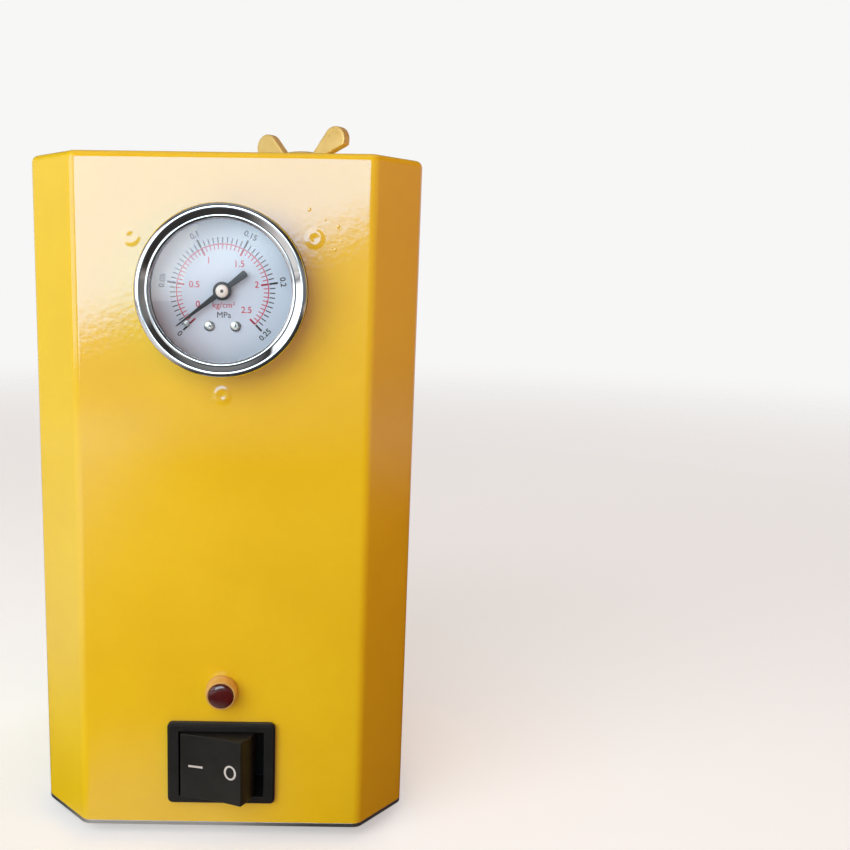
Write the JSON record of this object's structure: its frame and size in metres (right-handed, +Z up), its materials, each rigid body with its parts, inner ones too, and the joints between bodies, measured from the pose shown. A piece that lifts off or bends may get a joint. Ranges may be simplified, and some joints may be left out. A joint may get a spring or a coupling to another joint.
{
  "type": "smoke leak detector",
  "caption": "Upright folded-steel smoke machine with a pressure gauge, lamp, rocker switch, wing-screw filler and rear hose tails, for finding leaks in sealed systems.",
  "frame": {"origin": "centre of the overall footprint, on the plane that the rubber feet stand on", "axes": "+Z up, the gauge front faces -Y, +X to the right as seen from the front"},
  "size_m": [0.108, 0.1226, 0.2076],
  "materials": {
    "yellow_paint": "gloss",
    "zinc_plate": "satin",
    "zinc_screw": "satin",
    "black_rubber": "matte",
    "chrome": "polished",
    "clear_glass": "clear",
    "black_steel": "satin",
    "copper_stud": "satin",
    "dial_white": "matte print",
    "pointer_black": "matte paint",
    "cap_white": "matte",
    "brass": "satin",
    "red_lens": "gloss",
    "black_plastic": "satin",
    "black_gloss": "gloss",
    "bare_aluminium": "machined",
    "wick_fabric": "woven",
    "blue_hose": "satin",
    "green_board": "gloss",
    "white_plastic": "satin",
    "wire_red": "gloss"
  },
  "bodies": {
    "housing": {"front_shell": "yellow_paint", "rear_panel": "yellow_paint", "base_plate": "zinc_plate", "rear_screws": "zinc_screw", "base_screws": "zinc_screw", "clinch_nuts": "zinc_screw", "rubber_feet": "black_rubber", "gauge_bezel": "chrome", "gauge_lens": "clear_glass", "lens_gasket": "black_rubber", "gauge_case": "black_steel", "gauge_studs": "copper_stud", "gauge_nuts": "zinc_screw", "gauge_dial": "dial_white", "dial_screws": "zinc_screw", "stop_pin": "zinc_screw", "front_bearing_plate": "brass", "rear_bearing_plate": "brass", "bourdon_tube": "brass", "gauge_socket": "brass", "lamp_bezel": "brass", "lamp_lens": "red_lens", "lamp_diode": "red_lens", "lamp_nut": "zinc_screw", "switch_housing": "black_plastic", "switch_pin": "zinc_screw", "switch_terminals": "brass", "filler_neck": "brass", "neck_nut": "brass", "filler_hose": "black_rubber", "canister": "bare_aluminium", "canister_lid": "bare_aluminium", "lid_seal": "black_rubber", "lid_screws": "zinc_screw", "canister_screws": "zinc_screw", "glow_plug": "zinc_screw", "wick": "wick_fabric", "lid_barbs": "brass", "air_inlet": "brass", "smoke_outlet": "brass", "bulkhead_nuts": "brass", "air_hose": "blue_hose", "smoke_hose": "black_rubber", "gauge_hose": "black_rubber", "cable_gland": "black_plastic", "gland_cap": "black_plastic", "gland_seal": "black_rubber", "gland_nut": "black_plastic", "control_board": "green_board", "board_components": "black_gloss", "board_posts": "white_plastic", "wiring": "wire_red"},
    "rocker": {"switch_rocker": "black_gloss"},
    "sector": {"sector_gear": "brass"},
    "pointer": {"gauge_pointer": "pointer_black", "pointer_cap": "cap_white", "pinion_arbor": "zinc_screw"},
    "link": {"gauge_link": "zinc_screw"},
    "plug_washer": {"plug_seal": "black_rubber"},
    "plug": {"filler_plug": "brass"}
  },
  "joints": [
    {"name": "rocker_tilt", "type": "hinge", "parent": "housing", "child": "rocker", "pos_m": [0, -0.04775, 0.0244], "axis": [0, 0, 1], "range_deg": [0, 30.8]},
    {"name": "sector_swing", "type": "hinge", "parent": "housing", "child": "sector", "pos_m": [0, -0.04815, 0.1727], "axis": [0, 1, 0], "range_deg": [-32.75, 0], "stiffness_Nm_per_rad": 0.002, "springref_deg": 11.46},
    {"name": "pointer_turn", "type": "hinge", "parent": "housing", "child": "pointer", "pos_m": [0, -0.05275, 0.1592], "axis": [0, 1, 0], "range_deg": [0, 262]},
    {"name": "link_swing", "type": "hinge", "parent": "sector", "child": "link", "pos_m": [0.00107, -0.04675, 0.17635], "axis": [0, 1, 0], "range_deg": [0, 32.75]},
    {"name": "plug_turn", "type": "hinge", "parent": "plug_washer", "child": "plug", "pos_m": [0.0208, -0.00675, 0.1972], "axis": [0, 0, 1], "range_deg": [0, 2881]},
    {"name": "plug_rise", "type": "slide", "parent": "housing", "child": "plug_washer", "axis": [0, 0, 1], "range_m": [0, 0.012]}
  ],
  "couplings": [
    {"joint": "pointer_turn", "follows": "sector_swing", "ratio": -8},
    {"joint": "link_swing", "follows": "sector_swing", "ratio": -1},
    {"joint": "plug_turn", "follows": "plug_rise", "rad_per_m": 4188.8}
  ]
}
